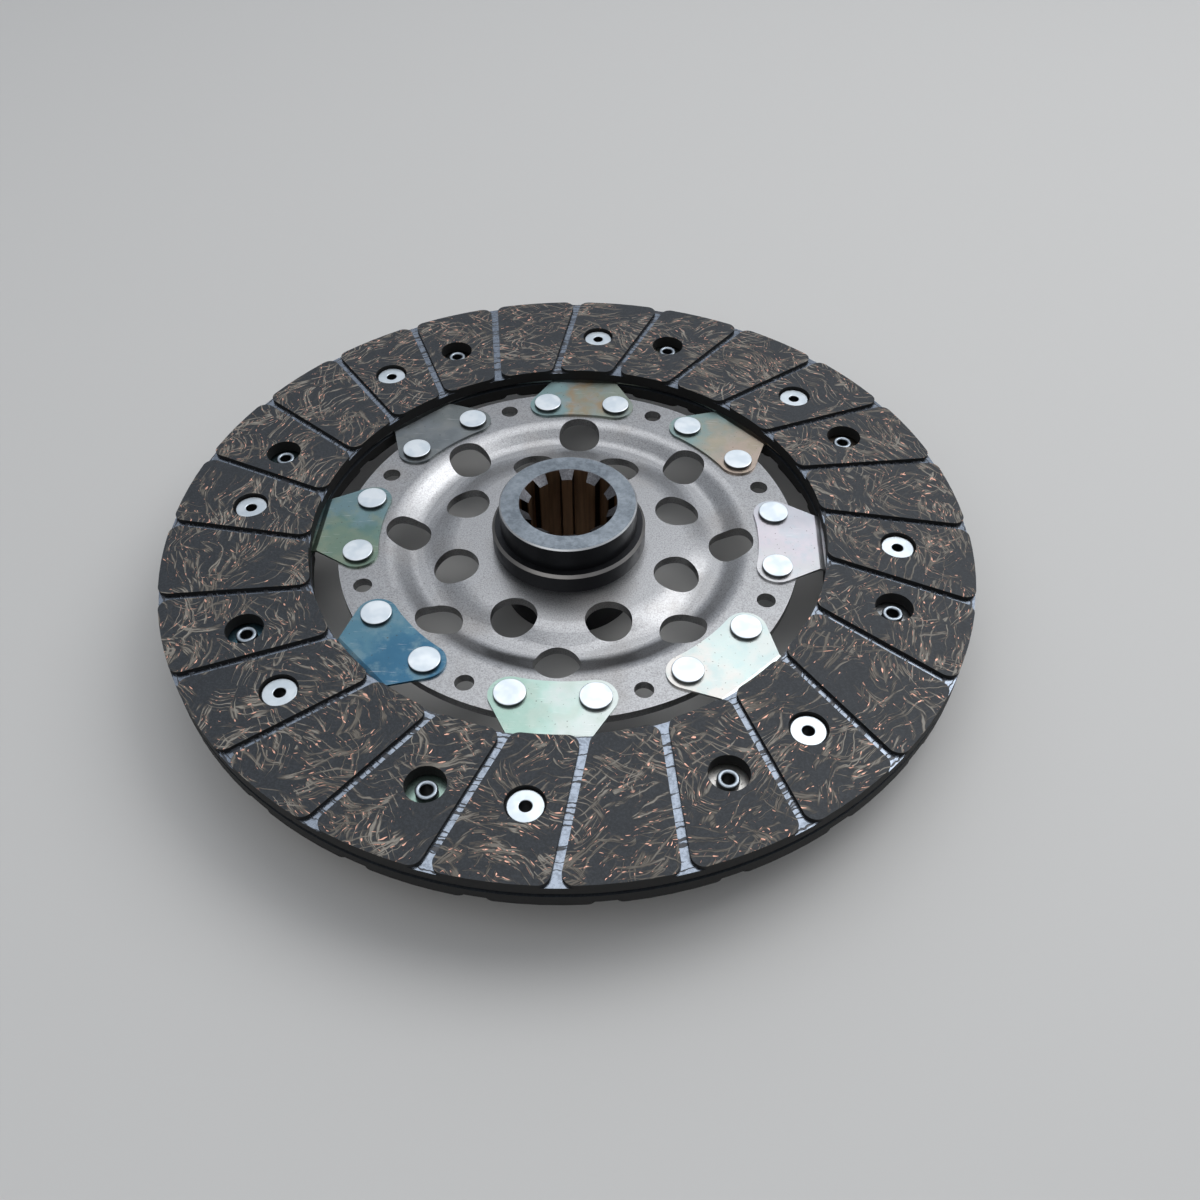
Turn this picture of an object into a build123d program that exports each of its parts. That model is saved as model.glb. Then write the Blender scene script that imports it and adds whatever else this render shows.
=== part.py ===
"""Rigid clutch disc of 240 mm with a splined hub, cushioned facings and no damper springs.

Frame: millimetres, +Z up along the disc's axis. The origin is on the axis at the lower end
face of the hub, so the disc stands on its hub. One cushion segment points along +Y.
"""
import os
from math import cos, radians, sin

from build123d import *

# ---------------------------------------------------------------- driving dimensions, mm

# hub
hub_length = 36.0
hub_height_above_rim = 13.5
hub_barrel_diameter = 41.0
hub_collar_width = 2.6
hub_collar_height_above_rim = 5.2
hub_end_chamfer = 0.4
hub_collar_chamfer = 0.8
spline_tooth_count = 10
spline_major_diameter = 29.0
spline_minor_diameter = 24.0
spline_groove_width = 4.5
spline_mouth_clearance = 0.15
spline_mouth_depth = 2.1
spline_turn = 6.0
weld_leg = 3.0

# pressed carrier plate
carrier_diameter = 139.0
carrier_thickness = 2.8
rim_width = 15.9
channel_wall_run = 5.9
channel_depth = 3.15
channel_outer_bend = 8.0
channel_inner_bend = 6.0
channel_floor_width = 5.7
land_drop = 1.1
land_wall_run = 6.2
land_foot_corner_inset = 18.0
land_top_corner_inset = 5.8
land_foot_bend = 9.0
land_top_bend = 14.0
press_fit_clearance = 0.02
outer_hole_diameter = 13.4
outer_hole_edge_distance = 20.2
inner_hole_diameter = 13.6
inner_hole_circle = 71.0
tooling_hole_diameter = 5.5

# cushion segments
segment_count = 8
segment_thickness = 0.7
tab_rivet_edge_distance = 6.0
tab_rivet_spread = 20.94
tab_corner_radius = 6.0
neck_width = 22.8
bend_to_facing = 2.4
joggle_run = 1.6
wing_span = 41.0
wing_corner_radius = 5.0
wing_to_facing_edge = 3.0
cushion_gap = 1.5
trough_flat_width = 10.0
wing_tip_lift = 0.4
crest_flat_width = 25.0

# friction facings
carrier_to_facing_gap = 8.0
facing_width = 42.5
facing_thickness = 3.9
facing_height_above_rim = 4.15
groove_count = 24
groove_width = 2.4
groove_depth = 1.15
groove_offset = 18.9
groove_turn = -6.76
pad_corner_radius = 3.2
facing_rivet_inset = 20.8
upper_rivet_turn = -2.2
lower_rivet_turn = -17.1

# rivets
tab_rivet_head_diameter = 9.0
tab_rivet_head_height = 1.1
tab_rivet_shank_diameter = 5.0
tab_rivet_tail_diameter = 8.4
tab_rivet_tail_height = 1.6
facing_rivet_head_diameter = 9.5
facing_rivet_head_height = 0.9
facing_rivet_shank_diameter = 4.9
facing_rivet_bore_diameter = 3.3
facing_rivet_tail_diameter = 5.9
facing_rivet_tail_height = 2.4
facing_rivet_web = 1.9
counterbore_clearance = 0.55
tail_hole_clearance = 2.45
rivet_clearance = 0.05
rivet_edge_round = 0.25

# ---------------------------------------------------------------- derived sizes

SEGMENT_PITCH = 360.0 / segment_count
UP = 90.0  # the angle of +Y, where the first segment points
LEVEL_TOLERANCE = 0.001

rim_top = hub_length - hub_height_above_rim
hub_collar_top = rim_top + hub_collar_height_above_rim
land_top = rim_top - land_drop
channel_floor = rim_top - channel_depth
hub_barrel_radius = hub_barrel_diameter / 2
hub_collar_diameter = hub_barrel_diameter + 2 * hub_collar_width
hub_collar_radius = hub_collar_diameter / 2
plate_bore_radius = hub_barrel_radius + press_fit_clearance

carrier_radius = carrier_diameter / 2
channel_outer_radius = carrier_radius - rim_width
channel_foot_radius = channel_outer_radius - channel_wall_run
outer_hole_radius = carrier_radius - outer_hole_edge_distance
land_foot_apothem = channel_foot_radius - channel_floor_width
land_top_apothem = land_foot_apothem - land_wall_run
tab_rivet_radius = carrier_radius - tab_rivet_edge_distance

facing_inner_radius = carrier_radius + carrier_to_facing_gap
facing_outer_radius = facing_inner_radius + facing_width
facing_rivet_radius = facing_inner_radius + facing_rivet_inset
upper_facing_top = rim_top + facing_height_above_rim
upper_facing_bottom = upper_facing_top - facing_thickness
lower_facing_top = upper_facing_bottom - cushion_gap
lower_facing_bottom = lower_facing_top - facing_thickness

tab_bottom = rim_top
crest_bottom = upper_facing_bottom - segment_thickness
trough_bottom = lower_facing_top
bend_distance = facing_inner_radius - bend_to_facing
wing_start = bend_distance + joggle_run
wing_radius = facing_outer_radius - wing_to_facing_edge
trough_distance = facing_rivet_radius * sin(radians(-lower_rivet_turn))

counterbore_radius = facing_rivet_head_diameter / 2 + counterbore_clearance
tail_hole_radius = facing_rivet_tail_diameter / 2 + tail_hole_clearance
tail_lip_round = 0.22 * (facing_rivet_tail_diameter - facing_rivet_bore_diameter)
tab_rivet_hole_radius = tab_rivet_shank_diameter / 2 + rivet_clearance
facing_rivet_hole_radius = facing_rivet_shank_diameter / 2 + rivet_clearance


def on_circle(radius: float, angle: float) -> tuple[float, float]:
    """Return the point at a radius and an angle in degrees from +X."""
    return radius * cos(radians(angle)), radius * sin(radians(angle))


def export(part: Part, label: str) -> None:
    """Label a finished piece and write it as a STEP file of its own."""
    part.label = label
    export_step(part, f"parts/{label}.step")


# ---------------------------------------------------------------- hub


def build_hub() -> Part:
    """Return the hub: stepped barrel with a straight-sided internal spline."""
    with BuildPart() as hub:
        with BuildSketch(Plane.XZ):
            with BuildLine():
                Polyline(
                    (0, 0),
                    (hub_barrel_radius, 0),
                    (hub_barrel_radius, land_top),
                    (hub_collar_radius, land_top),
                    (hub_collar_radius, hub_collar_top),
                    (hub_barrel_radius, hub_collar_top),
                    (hub_barrel_radius, hub_length),
                    (0, hub_length),
                    close=True,
                )
            make_face()
        revolve(axis=Axis.Z)
        rims = hub.edges().filter_by(GeomType.CIRCLE)
        ends = rims.filter_by_position(Axis.Z, hub_length, hub_length) + rims.filter_by_position(Axis.Z, 0, 0)
        step = rims.filter_by_position(Axis.Z, hub_collar_top, hub_collar_top).sort_by(SortBy.RADIUS)[-1]
        chamfer(ends, hub_end_chamfer)
        chamfer(step, hub_collar_chamfer)
        with BuildSketch():
            Circle(spline_minor_diameter / 2)
            with BuildSketch(mode=Mode.PRIVATE) as groove:
                Circle(spline_major_diameter / 2)
                with Locations((spline_major_diameter / 2, 0)):
                    Rectangle(spline_major_diameter, spline_groove_width, mode=Mode.INTERSECT)
            half_pitch = 180.0 / spline_tooth_count
            with PolarLocations(0, spline_tooth_count, UP + spline_turn + half_pitch):
                add(groove.sketch)
        extrude(amount=hub_length, mode=Mode.SUBTRACT)
        mouth_radius = spline_major_diameter / 2 + spline_mouth_clearance
        tip_radius = spline_minor_diameter / 2
        with Locations((0, 0, hub_length - spline_mouth_depth / 2)):
            Cone(tip_radius, mouth_radius, spline_mouth_depth, mode=Mode.SUBTRACT)
        with Locations((0, 0, spline_mouth_depth / 2)):
            Cone(mouth_radius, tip_radius, spline_mouth_depth, mode=Mode.SUBTRACT)
    return hub.part


def build_hub_weld() -> Part:
    """Return the fillet weld that holds the hub's barrel under the plate."""
    land_bottom = land_top - carrier_thickness
    with BuildPart() as weld:
        with BuildSketch(Plane.XZ):
            with BuildLine():
                corner = (hub_barrel_radius, land_bottom)
                root = (hub_barrel_radius, land_bottom - weld_leg)
                toe = (hub_barrel_radius + weld_leg, land_bottom)
                Line(root, corner)
                Line(corner, toe)
                RadiusArc(toe, root, 2 * weld_leg)
            make_face()
        revolve(axis=Axis.Z)
    return weld.part


# ---------------------------------------------------------------- carrier plate


def build_carrier_plate() -> Part:
    """Return the pressed disc: flat rim, sunk channel and eight-sided central land."""
    land_rise = channel_depth - land_drop
    with BuildPart() as plate:
        with BuildSketch(Plane.XZ):
            with BuildLine():
                FilletPolyline(
                    (0, channel_floor),
                    (channel_foot_radius, channel_floor),
                    (channel_outer_radius, rim_top),
                    (carrier_radius, rim_top),
                    radius=[channel_inner_bend, channel_outer_bend],
                )
                offset(amount=carrier_thickness, side=Side.RIGHT)
            make_face()
        revolve(axis=Axis.Z)
        # the land's walls lean inwards from the channel floor, above and underneath alike
        foot = (0, land_foot_apothem, land_foot_apothem - land_foot_corner_inset)
        top = (land_rise, land_top_apothem, land_top_apothem - land_top_corner_inset)
        for floor, mode in ((channel_floor, Mode.ADD), (channel_floor - carrier_thickness, Mode.SUBTRACT)):
            for rise, apothem, corner_radius in (foot, top):
                with BuildSketch(Plane.XY.offset(floor + rise)) as outline:
                    RegularPolygon(apothem, segment_count, major_radius=False)
                    fillet(outline.vertices(), corner_radius)
            loft(ruled=True, mode=mode)
        for height, bend in (
            (land_top, land_top_bend),
            (channel_floor, land_foot_bend),
            (land_top - carrier_thickness, land_top_bend - carrier_thickness),
            (channel_floor - carrier_thickness, land_foot_bend + carrier_thickness),
        ):
            level = plate.edges().filter_by_position(Axis.Z, height - LEVEL_TOLERANCE, height + LEVEL_TOLERANCE)
            fillet(level.filter_by(lambda edge: not edge.is_closed), bend)
        with BuildSketch(Plane.XY.offset(rim_top)):
            Circle(plate_bore_radius)
            with PolarLocations(outer_hole_radius, segment_count, UP):
                Circle(outer_hole_diameter / 2)
            with PolarLocations(inner_hole_circle / 2, segment_count, UP + SEGMENT_PITCH / 2):
                Circle(inner_hole_diameter / 2)
            with PolarLocations(tab_rivet_radius, segment_count, UP + SEGMENT_PITCH / 2):
                Circle(tooling_hole_diameter / 2)
            for side in (-1, 1):
                with PolarLocations(tab_rivet_radius, segment_count, UP + side * tab_rivet_spread / 2):
                    Circle(tab_rivet_hole_radius)
        extrude(amount=-2 * (channel_depth + carrier_thickness), mode=Mode.SUBTRACT)
    return plate.part


# ---------------------------------------------------------------- cushion segments


def tab_outline() -> Sketch:
    """Return the flat tab of a segment: two riveted corners and a neck towards the facing."""
    rivets = [on_circle(tab_rivet_radius, UP + side * tab_rivet_spread / 2) for side in (-1, 1)]
    with BuildSketch() as tab:
        with BuildLine():
            for x, y in rivets:
                CenterArc((x, y), tab_corner_radius, 0, 360)
            Line((-neck_width / 2, bend_distance), (neck_width / 2, bend_distance))
        make_hull()
        Circle(tab_rivet_radius - tab_corner_radius, mode=Mode.SUBTRACT)
        with Locations(*rivets):
            Circle(tab_rivet_hole_radius, mode=Mode.SUBTRACT)
    return tab.sketch


def build_wing() -> Part:
    """Return the waved part of a segment that lies between the facings.

    Its middle is a crest that carries the upper facing, and a trough on each side carries
    the lower one.
    """
    crest_end = crest_flat_width / 2
    trough_start = trough_distance - trough_flat_width / 2
    trough_end = trough_distance + trough_flat_width / 2
    half_width = wing_radius * sin(radians(wing_span / 2))
    with BuildPart() as wing:
        with BuildSketch(Plane.XZ):
            with BuildLine():
                for level in (0, segment_thickness):
                    crest = crest_bottom + level
                    trough = trough_bottom + level
                    Line((-crest_end, crest), (crest_end, crest))
                    for side in (-1, 1):
                        along = (side, 0)
                        Spline((side * crest_end, crest), (side * trough_start, trough), tangents=(along, along))
                        Line((side * trough_start, trough), (side * trough_end, trough))
                        Spline(
                            (side * trough_end, trough),
                            (side * half_width, trough + wing_tip_lift),
                            tangents=(along, (side, 2 * wing_tip_lift / (half_width - trough_end))),
                        )
                for side in (-1, 1):
                    Line(
                        (side * half_width, trough_bottom + wing_tip_lift),
                        (side * half_width, trough_bottom + wing_tip_lift + segment_thickness),
                    )
            make_face()
        extrude(amount=-wing_radius)
        with BuildSketch(Plane.XY.offset(lower_facing_bottom)) as plan:
            with BuildLine():
                inner_corner_radius = facing_inner_radius + wing_to_facing_edge
                outer_corners = [on_circle(wing_radius, UP + side * wing_span / 2) for side in (1, -1)]
                inner_corners = [on_circle(inner_corner_radius, UP + side * wing_span / 2) for side in (1, -1)]
                ThreePointArc(outer_corners[0], (0, wing_radius), outer_corners[1])
                Polyline(
                    outer_corners[1],
                    inner_corners[1],
                    (neck_width / 2, wing_start),
                    (-neck_width / 2, wing_start),
                    inner_corners[0],
                    outer_corners[0],
                )
            make_face()
            fillet(plan.vertices().filter_by(lambda corner: abs(corner.X) > neck_width), wing_corner_radius)
            with Locations(
                on_circle(facing_rivet_radius, UP + upper_rivet_turn),
                on_circle(facing_rivet_radius, UP + lower_rivet_turn),
            ):
                Circle(facing_rivet_hole_radius, mode=Mode.SUBTRACT)
        extrude(amount=upper_facing_top - lower_facing_bottom, mode=Mode.INTERSECT)
    return wing.part


def build_cushion_segment() -> Part:
    """Return one spring segment: flat tab, joggle and wing."""
    with BuildPart() as segment:
        with BuildSketch(Plane.XY.offset(tab_bottom)):
            add(tab_outline())
        extrude(amount=segment_thickness)
        with BuildSketch(Plane.YZ.offset(-neck_width / 2)):
            with BuildLine():
                Polyline(
                    (bend_distance, tab_bottom),
                    (wing_start, crest_bottom),
                    (wing_start, crest_bottom + segment_thickness),
                    (bend_distance, tab_bottom + segment_thickness),
                    close=True,
                )
            make_face()
        extrude(amount=neck_width)
        add(build_wing())
    return segment.part


# ---------------------------------------------------------------- friction facings


def build_facing() -> Part:
    """Return one facing, cushion side on z = 0 and grooved side up.

    Every segment has a counterbored hole for a rivet of this facing and a clearance hole
    for the tail of a rivet of the other one, so that the same facing serves both sides.
    """
    pad_floor = facing_thickness - groove_depth
    with BuildPart() as facing:
        with BuildSketch():
            Circle(facing_outer_radius)
            Circle(facing_inner_radius, mode=Mode.SUBTRACT)
        extrude(amount=pad_floor)
        with BuildSketch(Plane.XY.offset(pad_floor)) as pads:
            Circle(facing_outer_radius)
            Circle(facing_inner_radius, mode=Mode.SUBTRACT)
            with PolarLocations(0, groove_count, groove_turn):
                with Locations((-groove_offset, facing_outer_radius / 2)):
                    Rectangle(groove_width, facing_outer_radius, mode=Mode.SUBTRACT)
            fillet(pads.vertices(), pad_corner_radius)
        extrude(amount=groove_depth)
        with Locations((0, 0, facing_thickness)):
            with PolarLocations(facing_rivet_radius, segment_count, UP + upper_rivet_turn):
                CounterBoreHole(facing_rivet_hole_radius, counterbore_radius, facing_thickness - facing_rivet_web)
            with PolarLocations(facing_rivet_radius, segment_count, UP + lower_rivet_turn):
                Hole(tail_hole_radius)
    return facing.part


# ---------------------------------------------------------------- rivets


def build_tab_rivet() -> Part:
    """Return a solid rivet of a segment's tab, head seat on z = 0 and tail downwards."""
    grip = segment_thickness + carrier_thickness
    with BuildPart() as rivet:
        with BuildSketch(Plane.XZ):
            with BuildLine():
                Polyline(
                    (0, tab_rivet_head_height),
                    (tab_rivet_head_diameter / 2, tab_rivet_head_height),
                    (tab_rivet_head_diameter / 2, 0),
                    (tab_rivet_shank_diameter / 2, 0),
                    (tab_rivet_shank_diameter / 2, -grip),
                    (tab_rivet_tail_diameter / 2, -grip),
                    (tab_rivet_tail_diameter / 2, -grip - tab_rivet_tail_height),
                    (0, -grip - tab_rivet_tail_height),
                    close=True,
                )
            make_face()
        revolve(axis=Axis.Z)
        fillet(rivet.edges().filter_by(GeomType.CIRCLE).sort_by(Axis.Z)[-1], rivet_edge_round)
        fillet(rivet.edges().filter_by(GeomType.CIRCLE).sort_by(Axis.Z)[0], 2 * rivet_edge_round)
    return rivet.part


def build_facing_rivet() -> Part:
    """Return a tubular rivet of a facing, head seat on z = 0 and rolled tail downwards."""
    grip = facing_rivet_web + segment_thickness
    bore = facing_rivet_bore_diameter / 2
    with BuildPart() as rivet:
        with BuildSketch(Plane.XZ):
            with BuildLine():
                Polyline(
                    (bore, facing_rivet_head_height),
                    (facing_rivet_head_diameter / 2, facing_rivet_head_height),
                    (facing_rivet_head_diameter / 2, 0),
                    (facing_rivet_shank_diameter / 2, 0),
                    (facing_rivet_shank_diameter / 2, -grip),
                    (facing_rivet_tail_diameter / 2, -grip),
                    (facing_rivet_tail_diameter / 2, -grip - facing_rivet_tail_height),
                    (bore, -grip - facing_rivet_tail_height),
                    close=True,
                )
            make_face()
        revolve(axis=Axis.Z)
        rims = rivet.edges().filter_by(GeomType.CIRCLE)
        fillet(rims.group_by(Axis.Z)[-1], rivet_edge_round)
        fillet(rims.group_by(Axis.Z)[0], tail_lip_round)
    return rivet.part


# ---------------------------------------------------------------- assembly

os.makedirs("parts", exist_ok=True)

export(build_hub(), "hub")
export(build_hub_weld(), "hub_weld")
export(build_carrier_plate(), "carrier_plate")

facing = build_facing()
flip_axis = Axis((0, 0, 0), (*on_circle(1, UP + (upper_rivet_turn + lower_rivet_turn) / 2), 0))
export(facing.moved(Location((0, 0, upper_facing_bottom))), "facing_upper")
export(facing.rotate(flip_axis, 180).moved(Location((0, 0, lower_facing_top))), "facing_lower")

segment = build_cushion_segment()
tab_rivet = build_tab_rivet()
upper_rivet = build_facing_rivet()
lower_rivet = upper_rivet.rotate(Axis.X, 180)
tab_rivet_seat = tab_bottom + segment_thickness
upper_rivet_seat = upper_facing_bottom + facing_rivet_web
lower_rivet_seat = lower_facing_top - facing_rivet_web

for index in range(segment_count):
    turn = -SEGMENT_PITCH * index
    number = index + 1
    export(segment.moved(Location((0, 0, 0), (0, 0, turn))), f"cushion_segment_{number}")
    for side, name in ((1, "a"), (-1, "b")):
        x, y = on_circle(tab_rivet_radius, UP + turn + side * tab_rivet_spread / 2)
        export(tab_rivet.moved(Location((x, y, tab_rivet_seat))), f"segment_rivet_{number}{name}")
    x, y = on_circle(facing_rivet_radius, UP + turn + upper_rivet_turn)
    export(upper_rivet.moved(Location((x, y, upper_rivet_seat))), f"facing_rivet_upper_{number}")
    x, y = on_circle(facing_rivet_radius, UP + turn + lower_rivet_turn)
    export(lower_rivet.moved(Location((x, y, lower_rivet_seat))), f"facing_rivet_lower_{number}")
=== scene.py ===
"""A rigid clutch disc in a plain studio: the finish of every node, and the weld's rippled bead."""

import logging
import math
from dataclasses import dataclass
from enum import Enum
from typing import Any, Optional, Union

import bpy
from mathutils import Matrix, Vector


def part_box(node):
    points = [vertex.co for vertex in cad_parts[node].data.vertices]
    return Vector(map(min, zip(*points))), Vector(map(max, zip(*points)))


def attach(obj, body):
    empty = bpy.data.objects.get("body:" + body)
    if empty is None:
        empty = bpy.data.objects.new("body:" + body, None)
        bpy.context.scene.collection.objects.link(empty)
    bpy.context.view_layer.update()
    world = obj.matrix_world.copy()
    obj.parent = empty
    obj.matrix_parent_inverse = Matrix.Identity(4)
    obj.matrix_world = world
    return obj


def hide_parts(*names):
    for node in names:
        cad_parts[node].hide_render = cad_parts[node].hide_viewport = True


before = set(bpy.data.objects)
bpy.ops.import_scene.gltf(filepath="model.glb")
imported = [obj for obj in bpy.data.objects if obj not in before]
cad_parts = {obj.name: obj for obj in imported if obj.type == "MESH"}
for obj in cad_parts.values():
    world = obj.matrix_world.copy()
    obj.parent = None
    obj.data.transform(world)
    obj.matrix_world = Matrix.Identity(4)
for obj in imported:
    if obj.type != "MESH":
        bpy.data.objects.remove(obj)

logging.basicConfig(level=logging.INFO, format="%(name)s: %(message)s")
log = logging.getLogger("clutch_disc")

MM = 0.001
BODY = "root"
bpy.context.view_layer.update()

Colour = tuple[float, float, float]
Operand = Union["Value", float]
Link = Union["Value", bpy.types.NodeSocket, float, Colour]


# ------------------------------------------------------------------ shader expressions


class Value:
    """A number that varies over a surface: arithmetic on it adds Math nodes to its tree."""

    def __init__(self, tree: "Tree", socket: bpy.types.NodeSocket) -> None:
        """Wrap an output socket of a tree."""
        self.tree = tree
        self.socket = socket

    def _math(self, operation: str, *operands: Operand) -> "Value":
        """Return the result of one Math node."""
        node = self.tree.node("ShaderNodeMath", {"operation": operation}, dict(enumerate(operands)))
        return Value(self.tree, node.outputs[0])

    def __add__(self, other: Operand) -> "Value":
        """Return the sum."""
        return self._math("ADD", self, other)

    __radd__ = __add__

    def __sub__(self, other: Operand) -> "Value":
        """Return the difference."""
        return self._math("SUBTRACT", self, other)

    def __rsub__(self, other: Operand) -> "Value":
        """Return the difference from a number."""
        return self._math("SUBTRACT", other, self)

    def __mul__(self, other: Operand) -> "Value":
        """Return the product."""
        return self._math("MULTIPLY", self, other)

    __rmul__ = __mul__

    def __truediv__(self, other: Operand) -> "Value":
        """Return the quotient."""
        return self._math("DIVIDE", self, other)

    def __abs__(self) -> "Value":
        """Return the size without the sign."""
        return self._math("ABSOLUTE", self)

    def highest(self, other: Operand) -> "Value":
        """Return the greater of the two."""
        return self._math("MAXIMUM", self, other)

    def turn_from(self, other: Operand) -> "Value":
        """Return the angle of the point whose y is this and whose x is the other."""
        return self._math("ARCTAN2", self, other)

    def ease(self, start: float, end: float) -> "Value":
        """Bring the number smoothly from 0 to 1 between two bounds.

        Args:
            start: Where the result is 0.
            end: Where the result is 1, which may be the smaller bound.

        Returns:
            The eased number, 0 or 1 beyond the bounds.
        """
        low, high = sorted((start, end))
        node = self.tree.node(
            "ShaderNodeMapRange",
            {"interpolation_type": "SMOOTHSTEP"},
            {"Value": self, "From Min": low, "From Max": high},
        )
        rise = Value(self.tree, node.outputs["Result"])
        return rise if start < end else 1 - rise


class Tree:
    """A node tree that is being filled, of a material or of the world."""

    def __init__(self, owner: Union[bpy.types.Material, bpy.types.World]) -> None:
        """Empty the owner's tree.

        Args:
            owner: The material or world that has the tree.
        """
        owner.use_nodes = True
        self.nodes = owner.node_tree.nodes
        self.links = owner.node_tree.links
        self.nodes.clear()

    def node(self, kind: str, settings: dict[str, Any], sockets: dict[Any, Link]) -> bpy.types.Node:
        """Add one node.

        Args:
            kind: The node's type.
            settings: Its properties, set first. "stops" gives a colour ramp its places and colours.
            sockets: Input name or number to a value or a link.

        Returns:
            The new node.
        """
        node = self.nodes.new(kind)
        for name, setting in settings.items():
            if name == "stops":
                self._set_stops(node.color_ramp, setting)
            else:
                setattr(node, name, setting)
        for key, link in sockets.items():
            self.plug(node.inputs[key], link)
        return node

    def plug(self, socket: bpy.types.NodeSocket, link: Link) -> None:
        """Link or set one input.

        Args:
            socket: The input.
            link: The output that it is linked to, or the number or colour that it gets.
        """
        if isinstance(link, Value):
            link = link.socket
        if isinstance(link, bpy.types.NodeSocket):
            self.links.new(link, socket)
        elif socket.type == "RGBA":
            socket.default_value = (*link, 1.0)
        else:
            socket.default_value = link

    @staticmethod
    def _set_stops(ramp: bpy.types.ColorRamp, stops: list[tuple[float, Colour]]) -> None:
        """Give a colour ramp its stops.

        Args:
            ramp: The colour ramp, which has two stops at first.
            stops: The places, from 0 to 1, and the colours there.
        """
        while len(ramp.elements) < len(stops):
            ramp.elements.new(0.5)
        for element, (place, colour) in zip(ramp.elements, stops):
            element.position = place
            element.color = (*colour, 1.0)

    def vector(self, operation: str, *operands: Link, **named: Link) -> bpy.types.NodeSocket:
        """Return the result of one Vector Math node."""
        sockets: dict[Any, Link] = {**dict(enumerate(operands)), **named}
        return self.node("ShaderNodeVectorMath", {"operation": operation}, sockets).outputs[0]

    def measure(self, operation: str, *operands: Link) -> Value:
        """Return the number that one Vector Math node gives."""
        node = self.node("ShaderNodeVectorMath", {"operation": operation}, dict(enumerate(operands)))
        return Value(self, node.outputs["Value"])

    def split(self, vector: bpy.types.NodeSocket) -> tuple[Value, ...]:
        """Return a vector's three parts."""
        node = self.node("ShaderNodeSeparateXYZ", {}, {0: vector})
        return tuple(Value(self, output) for output in node.outputs)

    def join(self, x: Operand, y: Operand, z: Operand) -> bpy.types.NodeSocket:
        """Return a vector made of three numbers."""
        return self.node("ShaderNodeCombineXYZ", {}, {0: x, 1: y, 2: z}).outputs[0]

    def mix(self, factor: Operand, first: Link, second: Link) -> bpy.types.NodeSocket:
        """Return a colour between two colours."""
        node = self.node("ShaderNodeMix", {"data_type": "RGBA"}, {0: factor, 6: first, 7: second})
        return node.outputs[2]

    def ramp(self, factor: Value, stops: list[tuple[float, Colour]]) -> bpy.types.NodeSocket:
        """Return the colour that a ramp gives a number."""
        return self.node("ShaderNodeValToRGB", {"stops": stops}, {0: factor}).outputs[0]


class Surface(Tree):
    """The node tree of one material, with the object's coordinates in millimetres."""

    def __init__(self, name: str) -> None:
        """Start a material with a Principled shader.

        Args:
            name: The material's name.
        """
        self.material = bpy.data.materials.new(name)
        super().__init__(self.material)
        self.shader = self.node("ShaderNodeBsdfPrincipled", {}, {})
        self.node("ShaderNodeOutputMaterial", {}, {"Surface": self.shader.outputs[0]})
        coordinates = self.node("ShaderNodeTexCoord", {}, {})
        self.place = self.vector("SCALE", coordinates.outputs["Object"], Scale=1 / MM)
        self.x, self.y, self.z = self.split(self.place)
        self.normal_z = self.split(coordinates.outputs["Normal"])[2]

    def noise(
        self, size: float, detail: float = 2.0, rough: float = 0.5, place: Optional[Link] = None
    ) -> Value:
        """Add soft noise.

        Args:
            size: The size of its largest spots, in the coordinates' unit.
            detail: How many finer octaves it has.
            rough: How strong the finer octaves are.
            place: The coordinates. The object's own, in millimetres, are taken where there are none.

        Returns:
            The noise, mostly between 0.3 and 0.7, with 0.5 as its mean.
        """
        sockets = {"Vector": place or self.place, "Scale": 1 / size, "Detail": detail, "Roughness": rough}
        return Value(self, self.node("ShaderNodeTexNoise", {}, sockets).outputs[0])

    def drift(self, size: float, reach: float, place: Optional[Link] = None) -> bpy.types.NodeSocket:
        """Move coordinates about by soft noise.

        Args:
            size: The size of the noise's largest spots, in millimetres.
            reach: How far the moves range from one side to the other, in millimetres.
            place: The coordinates. The object's own are taken where there are none.

        Returns:
            The moved coordinates.
        """
        start = place or self.place
        noise = self.node("ShaderNodeTexNoise", {}, {"Vector": start, "Scale": 1 / size, "Detail": 1.0})
        centred = self.vector("SUBTRACT", noise.outputs["Color"], (0.5, 0.5, 0.5))
        return self.vector("ADD", start, self.vector("SCALE", centred, Scale=reach))

    def bump(self, height: Value, depth: float) -> bpy.types.NodeSocket:
        """Return a normal tilted by a height map whose range of 0 to 1 is depth millimetres deep."""
        return self.node("ShaderNodeBump", {}, {"Height": height, "Distance": depth * MM}).outputs[0]

    def finish(self, **sockets: Link) -> bpy.types.Material:
        """Finish the material.

        Args:
            sockets: The shader's inputs in small letters, with underscores for the spaces in their names.

        Returns:
            The material.
        """
        for name, link in sockets.items():
            self.plug(self.shader.inputs[name.replace("_", " ").title()], link)
        return self.material


# ------------------------------------------------------------------ finishes

# A finish has its sizes, radii and depths in millimetres and its colours in linear values.


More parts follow.
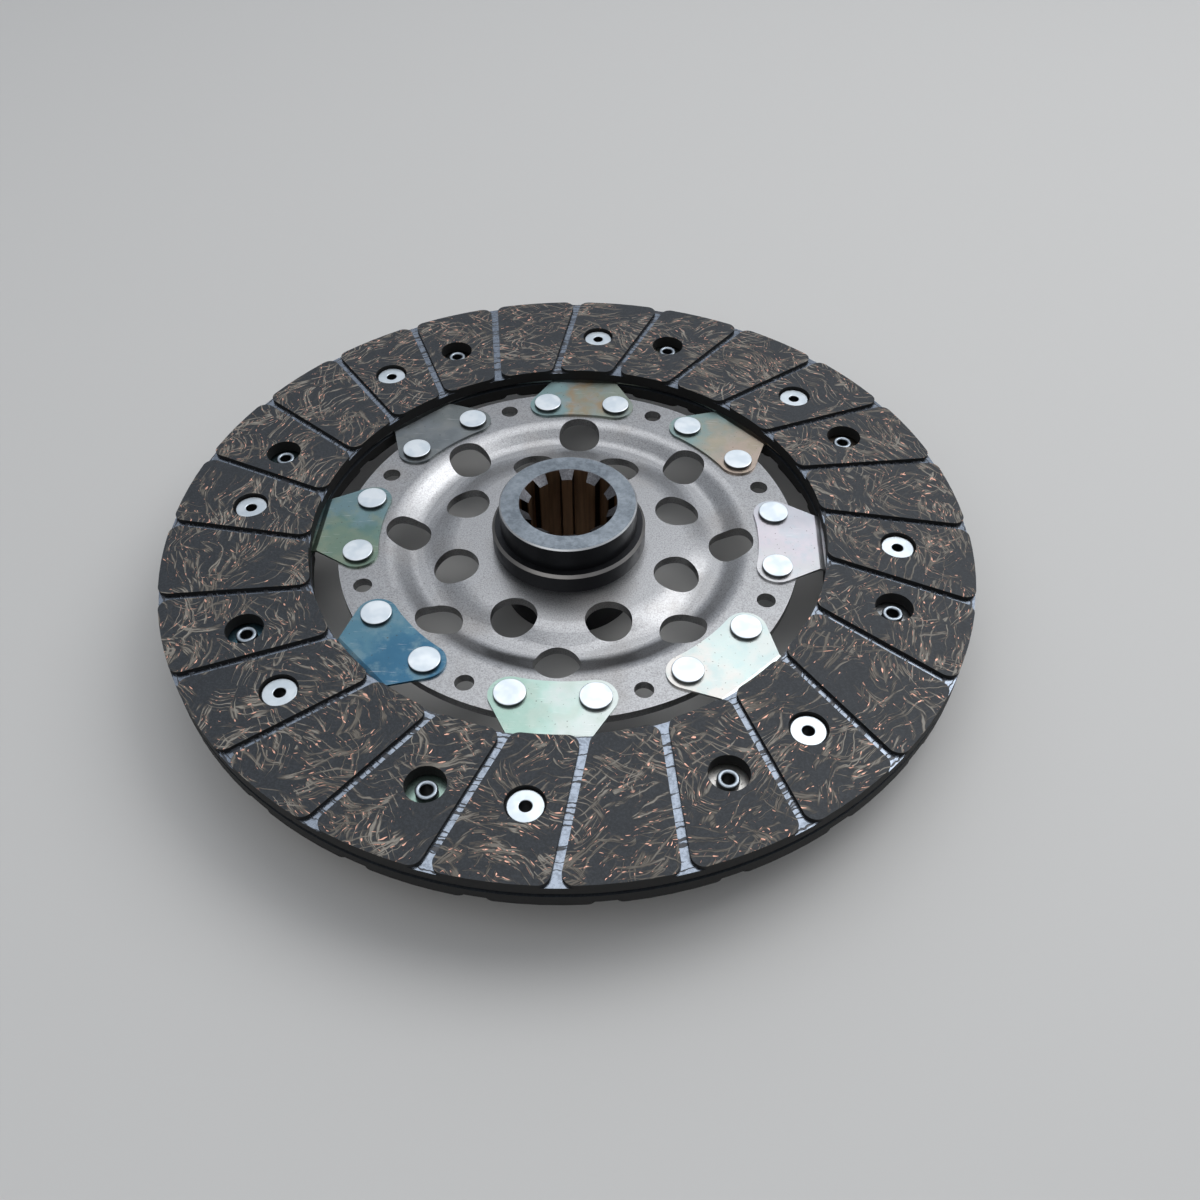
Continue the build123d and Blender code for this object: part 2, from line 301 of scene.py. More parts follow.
@dataclass(frozen=True)
class SatinSteel:
    """Pressed steel sheet: satin, with fine dark specks and faint brown clouds."""

    name: str = "satin_steel"
    bare: Colour = (0.43, 0.435, 0.445)
    shade: Colour = (0.29, 0.29, 0.295)
    rust: Colour = (0.26, 0.22, 0.18)
    speck: Colour = (0.12, 0.11, 0.11)
    grain_size: float = 0.42
    speck_size: float = 0.714
    cloud_size: float = 22.0
    grain_depth: float = 0.012

    def build(self) -> bpy.types.Material:
        """Build the material.

        Returns:
            The material.
        """
        tree = Surface(self.name)
        grain = tree.noise(self.grain_size, 3.0, 0.7)
        specks = tree.noise(self.speck_size, 2.0, 0.6).ease(0.60, 0.72)
        clouds = tree.noise(self.cloud_size, 3.0, 0.55).ease(0.48, 0.72)
        steel = tree.mix(grain.ease(0.36, 0.62), self.shade, self.bare)
        stained = tree.mix(clouds * 0.22, steel, self.rust)
        return tree.finish(
            base_color=tree.mix(specks * 0.5, stained, self.speck),
            metallic=1.0,
            roughness=0.25 + 0.14 * grain + 0.08 * clouds,
            normal=tree.bump(grain, self.grain_depth),
        )


@dataclass(frozen=True)
class HeatTint:
    """Hardened spring steel with the colours that tempering leaves, different on each segment.

    The tints run along the segment: left, middle and right as seen from the hub.
    """

    name: str
    left: Colour
    middle: Colour
    right: Colour
    cloud: Colour
    cloud_share: float = 0.5
    scuff: Colour = (0.80, 0.80, 0.80)
    pit: Colour = (0.08, 0.07, 0.06)
    half_width: float = 16.0
    wander: float = 1.3
    wander_size: float = 9.0
    cloud_size: float = 6.0
    grain_size: float = 0.5
    pit_size: float = 0.8
    scuff_stretch: tuple[float, float, float] = (0.15, 1.6, 1.0)
    wave_size: float = 14.0
    wave_depth: float = 0.25

    def build(self, turn: float) -> bpy.types.Material:
        """Build the material for one segment.

        Args:
            turn: The segment's turn about the disc's axis from the first segment, in radians.

        Returns:
            The material.
        """
        tree = Surface(self.name)
        along = tree.x * math.cos(turn) + tree.y * math.sin(turn)
        wander = (tree.noise(self.wander_size, 3.0, 0.55) - 0.5) * self.wander
        across = (along / (2 * self.half_width) + 0.5 + wander).ease(0.0, 1.0)
        tints = tree.ramp(across, [(0.12, self.left), (0.5, self.middle), (0.88, self.right)])
        clouds = tree.noise(self.cloud_size, 4.0, 0.6).ease(0.46, 0.66)
        tinted = tree.mix(clouds * self.cloud_share, tints, self.cloud)
        grain = tree.noise(self.grain_size, 3.0, 0.65)
        pits = tree.noise(self.pit_size, 1.0, 0.5).ease(0.70, 0.76)
        scuff_place = tree.vector("MULTIPLY", tree.place, self.scuff_stretch)
        scuffs = tree.noise(1.0, 2.0, 0.6, scuff_place).ease(0.64, 0.75)
        worn = tree.mix(scuffs * 0.25, tinted, self.scuff)
        return tree.finish(
            base_color=tree.mix(pits * 0.7, worn, self.pit),
            metallic=1.0,
            roughness=0.26 + 0.14 * grain + 0.06 * clouds,
            normal=tree.bump(tree.noise(self.wave_size, 1.0) + 0.04 * grain, self.wave_depth),
        )


@dataclass(frozen=True)
class YarnLayer:
    """One layer of yarn in a lining: how large its patches are, how the yarn lies and how dense it is.

    The cell, the half length and the half width are in millimetres, the lean from the ring's tangent
    and the scatter about it in radians. The density is counted in waves of noise to a millimetre
    across the yarn, and a strand shows where that noise is within about the thickness of its middle value.
    The shift sets the layer's pattern apart from the others.
    """

    cell: float
    half_length: float
    half_width: float
    lean: float
    scatter: float
    density: float
    thickness: float
    shift: float


@dataclass(frozen=True)
class FrictionLining:
    """Ground friction lining with frayed yarn and copper wire, resin in its grooves, and painted shade on
    its walls.

    The heights of the ground face and of the groove floors are in millimetres above the frame's origin,
    and a place counts as on them within the height slack. Waves of noise are counted to a millimetre
    along the yarn, and densities to a millimetre across it. The steps set one patch's noise apart from
    the next one's, and the shortest patch is a share of its layer's length.
    """

    name: str
    face_height: float
    floor_height: float
    matrix: Colour = (0.013, 0.017, 0.022)
    pale_matrix: Colour = (0.030, 0.037, 0.046)
    yarn: Colour = (0.095, 0.080, 0.063)
    pale_yarn: Colour = (0.29, 0.268, 0.232)
    copper: Colour = (0.92, 0.50, 0.37)
    resin: Colour = (0.29, 0.33, 0.39)
    dull_resin: Colour = (0.13, 0.15, 0.18)
    tick: Colour = (0.02, 0.02, 0.024)
    # The lining's walls: its own dark colour, darkened further as painted shade.
    side: Colour = (0.005, 0.005, 0.005)
    height_slack: float = 0.4
    patch_size: float = 17.0
    grain_size: float = 0.55
    film_size: float = 1.3
    relief: float = 0.09
    bend_size: float = 15.0
    bend_reach: float = 8.0
    fray_size: float = 2.6
    fray_reach: float = 0.9
    bow: float = 1.3
    shortest_patch: float = 0.55
    patch_step: float = 9.0
    strand_waves: float = 0.052
    thread_waves: float = 0.16
    thread_density: float = 2.2
    wire_waves: float = 0.52
    wire_density: float = 1.9
    wire_patch_step: float = 5.0
    wire_shift: float = 7.0
    tick_drift_size: float = 1.6
    tick_drift_reach: float = 1.2
    tick_waves_outwards: float = 0.36
    tick_waves_per_radian: float = 3.0
    layers: tuple[YarnLayer, ...] = (
        YarnLayer(
            cell=17.0, half_length=16.0, half_width=9.0,
            lean=0.45, scatter=1.0, density=0.31, thickness=0.056, shift=0.0,
        ),
        YarnLayer(
            cell=14.0, half_length=12.0, half_width=6.5,
            lean=-0.50, scatter=1.1, density=0.38, thickness=0.048, shift=41.0,
        ),
        YarnLayer(
            cell=12.0, half_length=9.0, half_width=4.5,
            lean=0.10, scatter=2.6, density=0.46, thickness=0.038, shift=83.0,
        ),
    )

    def patch(self, tree: Surface, layer: YarnLayer) -> tuple[Value, Value, Value, Value]:
        """Lay soft-edged patches in which the yarn lies one way, one to a cell of a scattered grid.

        Args:
            tree: The material's tree.
            layer: The patches' size and lie.

        Returns:
            The patches' mask, the places along and across the yarn, and the patch's random number.
        """
        shift = (layer.shift, -0.7 * layer.shift, 0.0)
        bent = tree.drift(self.bend_size, self.bend_reach)
        wandering = tree.drift(self.fray_size, self.fray_reach, bent)
        flat = tree.vector("MULTIPLY", tree.vector("ADD", wandering, shift), (1.0, 1.0, 0.0))
        cells = {"Vector": flat, "Scale": 1 / layer.cell}
        grid = tree.node("ShaderNodeTexVoronoi", {"voronoi_dimensions": "2D"}, cells)
        middle_x, middle_y, _ = tree.split(tree.vector("SUBTRACT", grid.outputs["Position"], shift))
        chance, bend, size = tree.split(grid.outputs["Color"])
        tangent = middle_y.turn_from(middle_x) + (0.5 * math.pi + layer.lean)
        lie = tangent + (chance - 0.5) * layer.scatter
        offset = tree.vector("SUBTRACT", flat, grid.outputs["Position"])
        turning = {"Vector": offset, "Angle": 0 - lie}
        turned = tree.node("ShaderNodeVectorRotate", {"rotation_type": "Z_AXIS"}, turning)
        along, across, _ = tree.split(turned.outputs[0])
        bowed = across + (bend - 0.5) * along * along * (self.bow / layer.half_length)
        share = self.shortest_patch + (1 - self.shortest_patch) * size
        ends = (abs(along) / (layer.half_length * share)).ease(1.0, 0.6)
        sides = (abs(bowed) / layer.half_width).ease(1.0, 0.5)
        return ends * sides, along, bowed, size

    def strands(self, tree: Surface, layer: YarnLayer) -> tuple[Value, Value]:
        """Lay the frayed yarn of one layer and the copper wires in it.

        Args:
            tree: The material's tree.
            layer: The layer.

        Returns:
            Where the yarn shows, and where the copper shows.
        """
        mask, along, across, size = self.patch(tree, layer)
        step = self.patch_step * size
        rows = tree.join(along * self.strand_waves + step, across * layer.density, layer.shift)
        from_strand = abs(tree.noise(1.0, 0.6, 0.5, rows) - 0.5)
        strand = from_strand.ease(1.2 * layer.thickness, 0.15 * layer.thickness)
        near_strand = from_strand.ease(1.7 * layer.thickness, layer.thickness)
        threads = tree.join(along * self.thread_waves + step, across * self.thread_density, layer.shift)
        filaments = tree.noise(1.0, 3.0, 0.65, threads).ease(0.34, 0.60)
        wire_step = self.wire_patch_step * size
        wires = tree.join(
            along * self.wire_waves + wire_step,
            across * self.wire_density,
            layer.shift + self.wire_shift,
        )
        glints = tree.noise(1.0, 0.0, 0.5, wires).ease(0.738, 0.762)
        return mask * strand * filaments, mask.ease(0.1, 0.3) * near_strand * glints

    def yarn_and_copper(self, tree: Surface) -> tuple[Value, Value]:
        """Lay every layer.

        Args:
            tree: The material's tree.

        Returns:
            Where yarn of any layer shows, and where copper of any layer shows.
        """
        yarn, copper = self.strands(tree, self.layers[0])
        for layer in self.layers[1:]:
            layer_yarn, layer_copper = self.strands(tree, layer)
            yarn = yarn.highest(layer_yarn)
            copper = copper.highest(layer_copper)
        return yarn, copper

    def pad(self, tree: Surface, yarn: Value, grain: Value) -> bpy.types.NodeSocket:
        """Colour the ground face.

        Args:
            tree: The material's tree.
            yarn: Where yarn shows.
            grain: Fine noise.

        Returns:
            The colour of the matrix and of the yarn in it.
        """
        patches = tree.noise(self.patch_size, 2.0).ease(0.38, 0.62)
        dark = tree.mix(grain.ease(0.40, 0.70), self.matrix, self.pale_matrix)
        paleness = yarn.ease(0.40, 0.95) * (0.35 + 0.65 * patches)
        threads = tree.mix(paleness, self.yarn, self.pale_yarn)
        return tree.mix(yarn.ease(0.05, 0.70), dark, threads)

    def groove_floor(self, tree: Surface) -> tuple[bpy.types.NodeSocket, Value]:
        """Colour the groove floors.

        Args:
            tree: The material's tree.

        Returns:
            The resin's colour with dark ticks across it, and where the ticks are.
        """
        drifted = tree.drift(self.tick_drift_size, self.tick_drift_reach)
        drifted_x, drifted_y, _ = tree.split(drifted)
        reach = tree.measure("LENGTH", tree.join(drifted_x, drifted_y, 0.0))
        turn = tree.y.turn_from(tree.x)
        bands = tree.join(reach * self.tick_waves_outwards, turn * self.tick_waves_per_radian, 0.0)
        ticks = abs(tree.noise(1.0, 1.0, 0.6, bands) - 0.5).ease(0.034, 0.012)
        film = tree.noise(self.film_size, 3.0, 0.65).ease(0.40, 0.66)
        resin = tree.mix(film * 0.6, self.resin, self.dull_resin)
        return tree.mix(ticks * 0.9, resin, self.tick), ticks

    def build(self) -> bpy.types.Material:
        """Build the material.

        Returns:
            The material.
        """
        tree = Surface(self.name)
        slack = self.height_slack
        flat = abs(tree.normal_z).ease(0.80, 0.95)
        ground = flat * abs(tree.z - self.face_height).ease(slack, slack / 2)
        floor = flat * abs(tree.z - self.floor_height).ease(slack, slack / 2)
        yarn, copper = (mask * ground for mask in self.yarn_and_copper(tree))
        grain = tree.noise(self.grain_size, 3.0, 0.7)
        resin, ticks = self.groove_floor(tree)
        body = tree.mix(floor, self.pad(tree, yarn, grain), resin)
        # Where the surface is not flat, the walls of rims, grooves and holes take the side colour: painted
        # shade.
        lining = tree.mix(flat, self.side, body)
        relief = 0.35 * grain * (1 - floor) + yarn * 0.8 + copper + 0.8 * ticks * floor
        return tree.finish(
            base_color=tree.mix(copper, lining, self.copper),
            metallic=(0.6 * copper).highest(floor * (1 - ticks)),
            roughness=0.78 - (0.16 + 0.10 * grain) * flat - 0.28 * copper - 0.34 * floor,
            normal=tree.bump(relief, self.relief),
        )


@dataclass(frozen=True)
class OxideSteel:
    """The hub's forged steel: black oxide outside, ground end faces, bare steel chamfers with a painted
    highlight towards the top, oiled splines with painted shade on the tooth flanks.

    The top is the upper end's height above the frame's origin, in millimetres like the radii.
    """

    name: str
    top: float
    bore_radius: float
    groove_radius: float
    mouth_radius: float
    oxide: Colour = (0.022, 0.023, 0.026)
    ground: Colour = (0.27, 0.305, 0.34)
    worn_ground: Colour = (0.15, 0.175, 0.20)
    scratch: Colour = (0.44, 0.47, 0.52)
    edge: Colour = (0.30, 0.29, 0.28)
    # Painted highlight: the pale colour that the chamfers take near the upper end.
    edge_highlight: Colour = (0.72, 0.74, 0.76)
    mouth: Colour = (0.11, 0.11, 0.12)
    bright_mouth: Colour = (0.20, 0.205, 0.22)
    oil: Colour = (0.27, 0.165, 0.095)
    dark_oil: Colour = (0.13, 0.085, 0.055)
    # Painted shade: the near-black colour of the spline teeth's side flanks.
    shaded_flank: Colour = (0.012, 0.009, 0.007)
    grain_size: float = 0.6
    mottle_size: float = 1.6
    wide_mottle_size: float = 9.0
    handled_size: float = 5.0
    scratch_drift_size: float = 6.0
    scratch_drift_reach: float = 2.0
    scratch_stretch: tuple[float, float, float] = (0.3, 3.2, 1.0)
    streak_stretch: tuple[float, float, float] = (1.1, 1.1, 0.05)
    end_slack: float = 0.2
    relief: float = 0.02

    def end_face(self, tree: Surface, scratches: Value) -> bpy.types.NodeSocket:
        """Colour the ground end faces.

        Args:
            tree: The material's tree.
            scratches: Where the grinding left marks.

        Returns:
            The colour.
        """
        fine = tree.noise(self.mottle_size, 4.0, 0.65).ease(0.36, 0.64)
        wide = tree.noise(self.wide_mottle_size, 2.0).ease(0.40, 0.60)
        steel = tree.mix(0.6 * fine + 0.4 * wide, self.ground, self.worn_ground)
        return tree.mix(scratches * 0.25, steel, self.scratch)

    def bore(self, tree: Surface, reach: Value, edge: Value, grain: Value) -> bpy.types.NodeSocket:
        """Colour the splines and their chamfered mouth, with painted shade on the tooth flanks.

        Args:
            tree: The material's tree.
            reach: The distance from the axis.
            edge: Where the chamfers are.
            grain: Fine noise.

        Returns:
            The colour.
        """
        past_teeth = reach.ease(self.bore_radius + 0.15, self.bore_radius + 0.45)
        before_floors = reach.ease(self.groove_radius - 0.25, self.groove_radius - 0.55)
        streak_place = tree.vector("MULTIPLY", tree.place, self.streak_stretch)
        streaks = tree.noise(1.0, 2.0, 0.5, streak_place).ease(0.35, 0.65)
        oiled = tree.mix(0.5 * streaks, self.oil, self.dark_oil)
        # Between the tooth tips and the groove floors, the flanks get painted shade.
        wall_with_shade = tree.mix(past_teeth * before_floors, oiled, self.shaded_flank)
        mouth = tree.mix(grain.ease(0.35, 0.70), self.mouth, self.bright_mouth)
        return tree.mix(edge, wall_with_shade, mouth)

    def build(self) -> bpy.types.Material:
        """Build the material.

        Returns:
            The material.
        """
        tree = Surface(self.name)
        reach = tree.measure("LENGTH", tree.join(tree.x, tree.y, 0.0))
        tilt = abs(tree.normal_z)
        slack = self.end_slack
        end = tree.z.ease(self.top - slack, self.top - slack / 2).highest(tree.z.ease(slack, slack / 2))
        face = tilt.ease(0.93, 0.98) * end
        edge = tilt.ease(0.25, 0.45) * tilt.ease(0.93, 0.85)
        inside = reach.ease(self.mouth_radius + 0.4, self.mouth_radius + 0.1)
        grain = tree.noise(self.grain_size, 3.0, 0.7)
        drifted = tree.drift(self.scratch_drift_size, self.scratch_drift_reach)
        scratch_place = tree.vector("MULTIPLY", drifted, self.scratch_stretch)
        scratches = tree.noise(1.0, 2.0, 0.6, scratch_place).ease(0.58, 0.70)
        # The chamfers turn pale towards the upper end: a painted highlight on bare steel.
        edge_with_highlight = tree.mix(tree.z.ease(self.top - 1.0, self.top - 0.6), self.edge, self.edge_highlight)
        outside = tree.mix(edge, self.oxide, edge_with_highlight)
        sides = tree.mix(inside, outside, self.bore(tree, reach, edge, grain))
        handled = tree.noise(self.handled_size, 3.0, 0.6).ease(0.45, 0.70)
        return tree.finish(
            base_color=tree.mix(face, sides, self.end_face(tree, scratches)),
            metallic=0.75 + 0.25 * face.highest(edge),
            roughness=0.30 + 0.10 * grain + 0.14 * handled,
            normal=tree.bump(0.6 * grain + 0.4 * scratches, self.relief),
        )


@dataclass(frozen=True)
class ZincPlate:
    """Bright zinc on rivets: smooth faces, painted shade on the steep walls, and darker where a tail was
    rolled over.

    The rolled end is eased in between two heights, in millimetres above the frame's origin. Both lie
    far above the disc by default, so that no end counts as rolled.
    """

    name: str
    bright: Colour = (0.82, 0.87, 0.90)
    dull: Colour = (0.52, 0.61, 0.68)
    # Painted shade: the near-black colour that the rivets' steep walls get.
    wall_with_shade: Colour = (0.09, 0.095, 0.10)
    rolled: Colour = (0.40, 0.45, 0.50)
    rolled_from: float = 1000.0
    rolled_to: float = 1001.0
    film_size: float = 5.0
    grain_size: float = 0.35
    wave_size: float = 4.0
    wave_depth: float = 0.05

    def build(self) -> bpy.types.Material:
        """Build the material.

        Returns:
            The material.
        """
        tree = Surface(self.name)
        film = tree.noise(self.film_size, 2.0, 0.5)
        grain = tree.noise(self.grain_size, 2.0, 0.6)
        zinc = tree.mix(0.5 * film.ease(0.36, 0.66), self.bright, self.dull)
        plated = tree.mix(tree.z.ease(self.rolled_from, self.rolled_to), zinc, self.rolled)
        return tree.finish(
            # Steep walls, found by the tilt of the normal, are darkened to the wall colour: painted shade.
            base_color=tree.mix(abs(tree.normal_z).ease(0.55, 0.15), plated, self.wall_with_shade),
            metallic=1.0,
            roughness=0.30 + 0.12 * film + 0.06 * grain,
            normal=tree.bump(tree.noise(self.wave_size, 1.0) + 0.05 * grain, self.wave_depth),
        )


@dataclass(frozen=True)
class WeldMetal:
    """Weld metal as it was laid: dark scale with straw and blue heat marks."""

    name: str = "weld_metal"
    scale: Colour = (0.16, 0.15, 0.15)
    straw: Colour = (0.40, 0.31, 0.20)
    blue: Colour = (0.13, 0.17, 0.27)
    patch_size: float = 4.0
    grain_size: float = 0.7
    scale_size: float = 0.9
    scale_depth: float = 0.05

    def build(self) -> bpy.types.Material:
        """Build the material.

        Returns:
            The material.
        """
        tree = Surface(self.name)
        patches = tree.noise(self.patch_size, 3.0, 0.6)
        tints = tree.ramp(patches, [(0.35, self.blue), (0.5, self.scale), (0.64, self.straw)])
        return tree.finish(
            base_color=tints,
            metallic=1.0,
            roughness=0.34 + 0.2 * tree.noise(self.grain_size, 3.0),
            normal=tree.bump(tree.noise(self.scale_size, 3.0, 0.6), self.scale_depth),
        )


# ------------------------------------------------------------------ sub-assemblies


def dress(names: list[str], material: bpy.types.Material) -> None:
    """Give CAD nodes a material in every slot they have.

    Args:
        names: The nodes.
        material: Their finish.
    """
    for name in names:
        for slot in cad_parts[name].material_slots:
            slot.material = material
    log.info("%s on %d nodes, from %s", material.name, len(names), names[0])


def deselect() -> None:
    """Deselect every object, so that an operator acts on the new primitive alone."""
    bpy.ops.object.select_all(action="DESELECT")


@dataclass
class Hub:
    """The splined hub and the weld that holds it under the plate, with sizes in millimetres."""

    bore_radius: float = 12.0
    groove_radius: float = 14.5
    mouth_radius: float = 14.65
    bead_radius: float = 1.9
    bead_stand_off: float = 0.55
    bead_sides: int = 14
    bead_ripples: int = 72
    rings_per_ripple: int = 4
    bead_ripple_height: float = 0.22

    def build(self) -> None:
        """Dress the hub and model its weld bead."""
        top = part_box("hub")[1][2] / MM
        steel = OxideSteel("hub_steel", top, self.bore_radius, self.groove_radius, self.mouth_radius)
        dress(["hub"], steel.build())
        self.weld_bead()

    def weld_bead(self) -> None:
        """Model the rippled bead that stands for the plain weld solid.

        The solid is as wide as it is high. The bead's middle stands off the plate and the barrel by a
        share of the bead's radius, so that the bead is sunk in both.
        """
        low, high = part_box("hub_weld")
        inner = high[0] - (high[2] - low[2])
        radius = self.bead_radius * MM
        stand_off = self.bead_stand_off * radius
        deselect()
        bpy.ops.mesh.primitive_torus_add(
            location=(0, 0, high[2] - stand_off),
            major_segments=self.rings_per_ripple * self.bead_ripples,
            minor_segments=self.bead_sides,
            major_radius=inner + stand_off,
            minor_radius=radius,
        )
        bead = bpy.context.object
        bead.name = "weld_bead"
        self.ripple(bead)
        bpy.ops.object.transform_apply(location=True, rotation=True, scale=True)
        bpy.ops.object.shade_smooth()
        bead.data.materials.append(WeldMetal().build())
        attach(bead, BODY)
        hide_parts("hub_weld")
        log.info("weld_bead: %d faces", len(bead.data.polygons))

    def ripple(self, bead: bpy.types.Object) -> None:
        """Swell one ring of each ripple and draw in the ring halfway to the next.

        Args:
            bead: The bead, which is the active object.
        """
        rings = self.rings_per_ripple * self.bead_ripples
        swells = ((0, self.bead_ripple_height), (self.rings_per_ripple // 2, -self.bead_ripple_height))
        for phase, swell in swells:
            bpy.ops.object.mode_set(mode="EDIT")
            bpy.ops.mesh.select_all(action="DESELECT")
            bpy.ops.object.mode_set(mode="OBJECT")
            for vertex in bead.data.vertices:
                ring = round(math.atan2(vertex.co.y, vertex.co.x) / math.tau * rings)
                vertex.select = ring % self.rings_per_ripple == phase
            bpy.ops.object.mode_set(mode="EDIT")
            bpy.ops.mesh.select_mode(type="VERT")
            bpy.ops.transform.shrink_fatten(value=swell * MM)
            bpy.ops.object.mode_set(mode="OBJECT")


@dataclass
class Plate:
    """The pressed carrier plate."""

    def build(self) -> None:
        """Dress the plate."""
        dress(["carrier_plate"], SatinSteel().build())


@dataclass
class CushionSegments:
    """The eight spring segments and the rivets of their tabs."""

    tints: tuple[HeatTint, ...] = (
        HeatTint(
            "tint_straw",
            (0.24, 0.35, 0.35), (0.37, 0.28, 0.18), (0.29, 0.33, 0.28), (0.30, 0.36, 0.38),
        ),
        HeatTint(
            "tint_mixed",
            (0.26, 0.36, 0.35), (0.35, 0.35, 0.30), (0.46, 0.38, 0.32), (0.38, 0.34, 0.25),
        ),
        HeatTint(
            "tint_lilac",
            (0.52, 0.52, 0.56), (0.60, 0.56, 0.60), (0.56, 0.56, 0.57), (0.46, 0.54, 0.58),
        ),
        HeatTint(
            "tint_pale_mint",
            (0.56, 0.60, 0.58), (0.52, 0.61, 0.59), (0.62, 0.60, 0.57), (0.46, 0.60, 0.60),
        ),
        HeatTint(
            "tint_mint",
            (0.54, 0.59, 0.57), (0.42, 0.56, 0.51), (0.33, 0.47, 0.41), (0.50, 0.58, 0.52),
        ),
        HeatTint(
            "tint_blue",
            (0.055, 0.15, 0.24), (0.065, 0.17, 0.26), (0.11, 0.23, 0.30), (0.18, 0.29, 0.34),
            cloud_share=0.8,
        ),
        HeatTint(
            "tint_verdigris",
            (0.20, 0.28, 0.22), (0.15, 0.25, 0.23), (0.19, 0.29, 0.31), (0.28, 0.32, 0.24),
        ),
        HeatTint(
            "tint_olive",
            (0.18, 0.20, 0.21), (0.22, 0.24, 0.25), (0.20, 0.22, 0.22), (0.27, 0.28, 0.27),
        ),
    )

    def build(self) -> None:
        """Dress every segment in its own tint and all tab rivets alike."""
        rivets = []
        for index, tint in enumerate(self.tints):
            turn = -index * math.tau / len(self.tints)
            dress([f"cushion_segment_{index + 1}"], tint.build(turn))
            rivets += [f"segment_rivet_{index + 1}{end}" for end in "ab"]
        dress(rivets, ZincPlate("zinc_bright").build())


class Side(Enum):
    """The side of the segments on which a facing lies."""

    UPPER = "upper"
    LOWER = "lower"


@dataclass
class Facings:
    """The two friction facings and their tubular rivets, with sizes in millimetres."""

    groove_depth: float = 1.15
    rivet_count: int = 8
    tail_height: float = 2.4
    rolled_share: float = 0.4
    tube_bright: Colour = (0.76, 0.82, 0.86)
    tube_dull: Colour = (0.50, 0.58, 0.64)

    def build(self) -> None:
        """Dress both facings, then their rivets."""
        for side in Side:
            self.lining(side)
        for side in Side:
            self.rivets(side)

    def lining(self, side: Side) -> None:
        """Dress one facing, whose grooves are sunk in its outer face.

        Args:
            side: Which facing.
        """
        low, high = (corner[2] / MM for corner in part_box(f"facing_{side.value}"))
        outer = (high, high - self.groove_depth)
        if side is Side.LOWER:
            outer = (low, low + self.groove_depth)
        dress([f"facing_{side.value}"], FrictionLining(f"lining_{side.value}", *outer).build())

    def rivets(self, side: Side) -> None:
        """Dress one facing's rivets, whose tails are rolled over on the other side.

        Args:
            side: Which facing's rivets.
        """
        names = [f"facing_rivet_{side.value}_{number + 1}" for number in range(self.rivet_count)]
        low, high = (corner[2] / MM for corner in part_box(names[0]))
        start, end = low + self.tail_height, low
        if side is Side.LOWER:
            start, end = high - self.tail_height, high
        zinc = ZincPlate(
            f"zinc_tube_{side.value}",
            bright=self.tube_bright,
            dull=self.tube_dull,
            rolled_from=start,
            rolled_to=(1 - self.rolled_share) * start + self.rolled_share * end,
        )
        dress(names, zinc.build())


# ------------------------------------------------------------------ studio


def aim(
    item: bpy.types.Object, target: Vector, azimuth: float, elevation: float, distance: float
) -> None:
    """Put a lamp or the camera on a sphere round a point, turn it to the point and show it.

    Args:
        item: The lamp or camera.
        target: The point.
        azimuth: How far round from the front it stands, towards the right, in degrees.
        elevation: How high it stands, in degrees.
        distance: How far away it stands, in metres.
    """
    turn, rise = math.radians(azimuth), math.radians(elevation)
    away = Vector((math.sin(turn) * math.cos(rise), -math.cos(turn) * math.cos(rise), math.sin(rise)))
    item.location = target + distance * away
    item.rotation_euler = (-away).to_track_quat("-Z", "Y").to_euler()
    bpy.context.scene.collection.objects.link(item)


@dataclass(frozen=True)
class SoftLamp:
    """A round area lamp that shines at the disc's middle, with its diameter and distance in metres."""

    name: str
    azimuth: float
    elevation: float
    distance: float
    size: float
    power: float

    def build(self, target: Vector) -> None:
        """Add the lamp.

        Args:
            target: The point that it shines at.
        """
        data = bpy.data.lights.new(self.name, "AREA")
        data.shape = "DISK"
        data.size = self.size
        data.energy = self.power
        lamp = bpy.data.objects.new(self.name, data)
        aim(lamp, target, self.azimuth, self.elevation, self.distance)


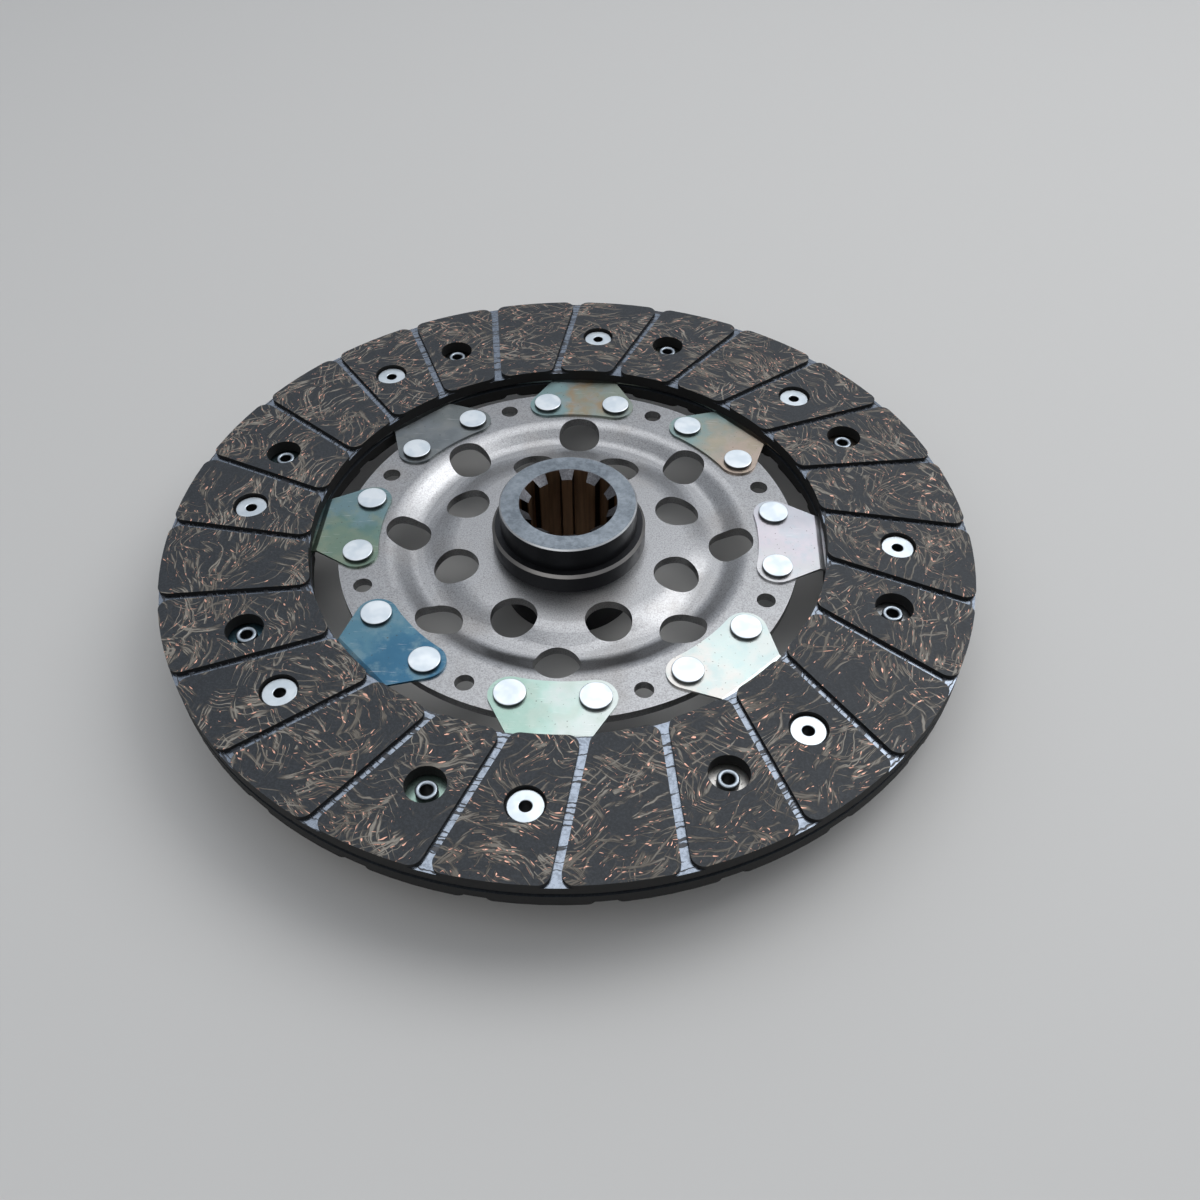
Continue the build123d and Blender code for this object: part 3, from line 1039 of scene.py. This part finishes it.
@dataclass
class Studio:
    """A pale floor, soft lamps and the camera."""

    camera_azimuth: float = 2.904
    camera_elevation: float = 47.552
    camera_distance: float = 0.32161
    camera_target: tuple[float, float, float] = (0.010855, -0.027859, 0.02387)
    lens: float = 33.66
    sensor_width: float = 36.0
    clip_start: float = 0.01
    floor_half_width: float = 3.0
    floor_colour: Colour = (0.62, 0.615, 0.60)
    floor_roughness: float = 0.6
    room_bright_side: tuple[float, float, float] = (0.2, 0.62, 0.76)
    room_bright: Colour = (0.60, 0.63, 0.68)
    room_dark: Colour = (0.21, 0.215, 0.225)
    lamps: tuple[SoftLamp, ...] = (
        SoftLamp("window", azimuth=170.0, elevation=64.0, distance=1.2, size=0.95, power=2.5),
        SoftLamp("key", azimuth=120.0, elevation=50.0, distance=1.2, size=0.8, power=4.0),
        SoftLamp("fill", azimuth=-25.0, elevation=52.0, distance=1.4, size=1.4, power=3.2),
    )

    def build(self) -> None:
        """Add the floor, the lamps, the world and the camera."""
        self.floor()
        middle = Vector((0, 0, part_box("facing_upper")[1][2]))
        for lamp in self.lamps:
            lamp.build(middle)
        self.world()
        self.camera()

    def floor(self) -> None:
        """Add the plain floor that the hub stands on."""
        deselect()
        bpy.ops.mesh.primitive_plane_add(size=2 * self.floor_half_width)
        floor = bpy.context.object
        floor.name = "floor"
        paint = Surface("floor_paint")
        material = paint.finish(base_color=self.floor_colour, roughness=self.floor_roughness)
        floor.data.materials.append(material)

    def world(self) -> None:
        """Light the room softly, brighter above the far side than behind the camera."""
        world = bpy.data.worlds.new("studio")
        tree = Tree(world)
        direction = tree.node("ShaderNodeTexCoord", {}, {}).outputs["Generated"]
        height = tree.split(direction)[2].ease(-0.05, 0.55)
        towards_window = tree.measure("DOT_PRODUCT", direction, self.room_bright_side).ease(0.0, 1.0)
        room = tree.mix(towards_window * height, self.room_dark, self.room_bright)
        background = tree.node("ShaderNodeBackground", {}, {"Color": room})
        tree.node("ShaderNodeOutputWorld", {}, {"Surface": background.outputs[0]})
        bpy.context.scene.world = world

    def camera(self) -> None:
        """Place the camera."""
        data = bpy.data.cameras.new("camera")
        data.lens = self.lens
        data.sensor_width = self.sensor_width
        data.clip_start = self.clip_start
        camera = bpy.data.objects.new("camera", data)
        target = Vector(self.camera_target)
        aim(camera, target, self.camera_azimuth, self.camera_elevation, self.camera_distance)
        bpy.context.scene.camera = camera


def main() -> None:
    """Build the disc's pieces and finishes, then the studio round them."""
    for assembly in (Hub(), Plate(), CushionSegments(), Facings(), Studio()):
        assembly.build()
        log.info("%s done", type(assembly).__name__)
    bpy.context.scene.view_settings.view_transform = "Standard"


if __name__ == "__main__":
    main()
